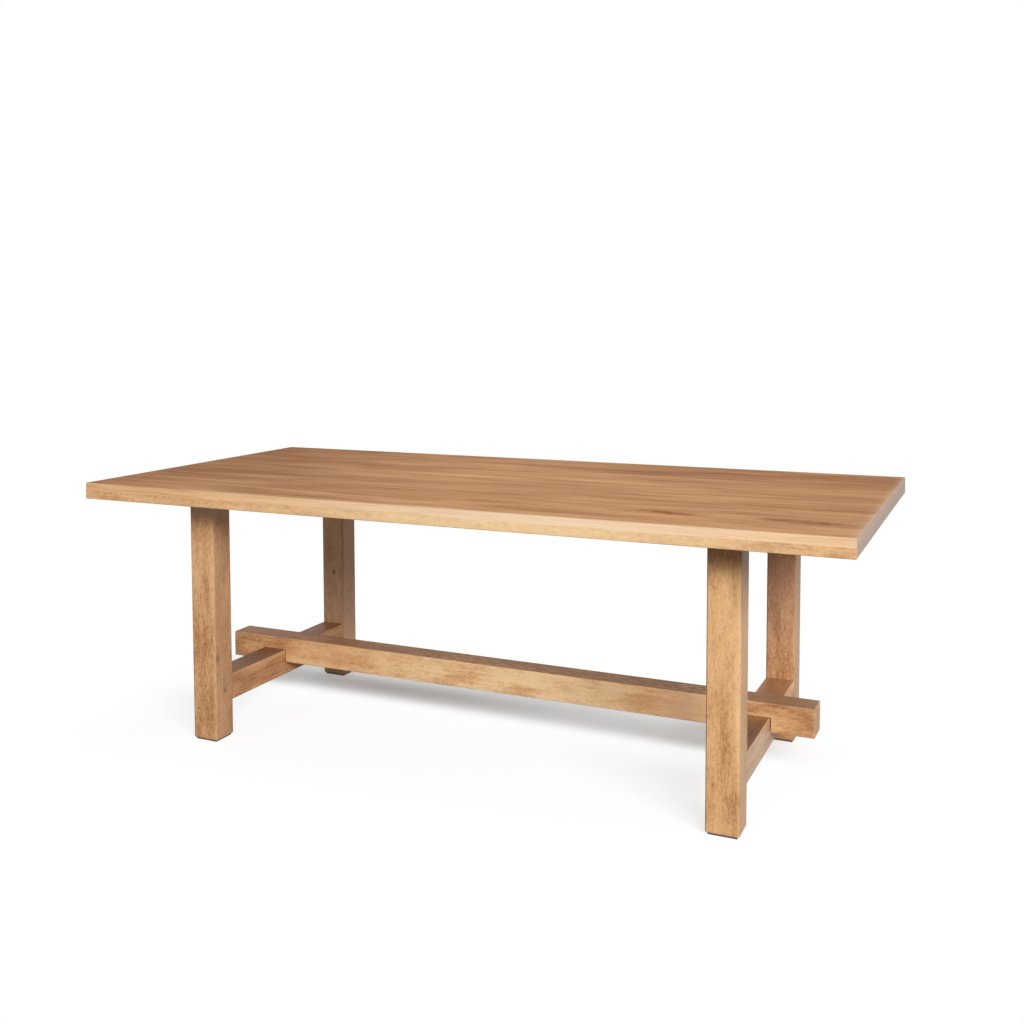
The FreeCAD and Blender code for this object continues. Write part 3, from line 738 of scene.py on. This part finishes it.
def kept_shadow(tree, space):
    x, y, _ = tree.split(space)
    deep = tree.ramp(y, *SHADOW_COMES, smooth=True)
    front = tree.math("MAXIMUM", deep, tree.ramp(y, *FAINT_SHADOW, *FAINT_AMOUNTS))
    back = tree.ramp(y, *SHADOW_GOES, 1.0, 0.0, smooth=True)
    side = tree.ramp(tree.math("ABSOLUTE", x), *SHADOW_SIDES, 1.0, 0.0, smooth=True)
    near = tree.ramp(y, *SHADOW_NEAR, smooth=True)
    return tree.times(tree.times(front, back), tree.times(side, near))


def floor_material():
    material = bpy.data.materials.new("floor")
    tree = Tree(material)
    space = tree.add("ShaderNodeTexCoord").outputs["Object"]
    # Painted shadow where the glow is dimmed.
    painted_shadow = tree.spot(space, PAINTED_SHADOW_MIDDLE, PAINTED_SHADOW_REACH)
    strength = tree.math("MULTIPLY_ADD", painted_shadow, GLOW_LOST_TO_PAINTED_SHADOW, GLOW_STRENGTH)
    glow = tree.fill("ShaderNodeEmission", {"Color": FLOOR_GLOW, "Strength": strength})
    lit = tree.fill("ShaderNodeBsdfDiffuse", {"Color": FLOOR_LIT})
    shaded = tree.fill("ShaderNodeAddShader", {0: lit, 1: glow})
    white = tree.fill("ShaderNodeEmission", {"Color": WHITE, "Strength": 1.0})
    seen = tree.choose(kept_shadow(tree, space), white, shaded)
    dull = tree.fill("ShaderNodeBsdfDiffuse", {"Color": FLOOR_GREY})
    tree.show(tree.choose(seen_rays(tree), dull, seen))
    return material


def make_floor():
    mesh = bpy.data.meshes.new("floor")
    corners = [(x * FLOOR_HALF, y * FLOOR_HALF, 0) for x, y in ((-1, -1), (1, -1), (1, 1), (-1, 1))]
    mesh.from_pydata(corners, [], [(0, 1, 2, 3)])
    floor = bpy.data.objects.new("floor", mesh)
    bpy.context.collection.objects.link(floor)
    mesh.materials.append(floor_material())


# World and lamps: even soft light, white where the world itself is seen.
WORLD_LIGHT = 0.31


def make_world():
    world = bpy.data.worlds.new("studio")
    bpy.context.scene.world = world
    tree = Tree(world)
    light = tree.fill("ShaderNodeBackground", {"Color": WHITE, "Strength": WORLD_LIGHT})
    seen = tree.fill("ShaderNodeBackground", {"Color": WHITE, "Strength": 1.0})
    tree.show(tree.choose(seen_rays(tree), light, seen), "ShaderNodeOutputWorld")


def make_lamp(name, place, target, size, power):
    data = bpy.data.lights.new(name, "AREA")
    data.shape = "RECTANGLE"
    data.size, data.size_y = size
    data.energy = power
    lamp = bpy.data.objects.new(name, data)
    bpy.context.collection.objects.link(lamp)
    lamp.location = place
    lamp.rotation_euler = (Vector(target) - Vector(place)).to_track_quat("-Z", "Y").to_euler()


# Camera, fitted to the photograph.
# These are in pixels of a square picture, the principal point from its left and its top.
PICTURE = 1024
FOCAL_LENGTH = 1181.064
PRINCIPAL_X = 445.164
PRINCIPAL_Y = 397.267

# The sensor is in millimetres, the place in metres and the angles in radians.
SENSOR = 36.0
CAMERA_PLACE = (1.385112, -3.123991, 1.221975)
YAW = 0.46017
PITCH = -0.06386
ROLL = -0.00615
FARTHEST = 80


def make_camera():
    ahead = Vector((-math.sin(YAW) * math.cos(PITCH), math.cos(YAW) * math.cos(PITCH), math.sin(PITCH)))
    level = Vector((math.cos(YAW), math.sin(YAW), 0))
    above = level.cross(ahead)
    right = level * math.cos(ROLL) + above * math.sin(ROLL)
    up = above * math.cos(ROLL) - level * math.sin(ROLL)
    data = bpy.data.cameras.new("camera")
    data.sensor_fit = "HORIZONTAL"
    data.sensor_width = SENSOR
    data.lens = FOCAL_LENGTH / PICTURE * SENSOR
    data.shift_x = (PICTURE / 2 - PRINCIPAL_X) / PICTURE
    data.shift_y = (PRINCIPAL_Y - PICTURE / 2) / PICTURE
    data.clip_end = FARTHEST
    camera = bpy.data.objects.new("camera", data)
    bpy.context.collection.objects.link(camera)
    turned = Matrix((right, up, -ahead)).transposed().to_4x4()
    camera.matrix_world = Matrix.Translation(CAMERA_PLACE) @ turned
    bpy.context.scene.camera = camera


dress_boards()
dress_lips()
dress_legs()
dress_cross_stretchers()
dress_long_stretcher()
dress_underside()
dress_hardware()
make_floor()
make_world()
make_lamp("key", place=(7.5, -8.26, 5.5), target=(0.2, -0.2, 0.4), size=(7.5, 3.0), power=1500)
make_lamp("overhead", place=(0.2, 0.2, 3.2), target=(0.2, 0.2, 0.0), size=(3.0, 2.0), power=14)
make_camera()
bpy.context.scene.view_settings.view_transform = "Standard"
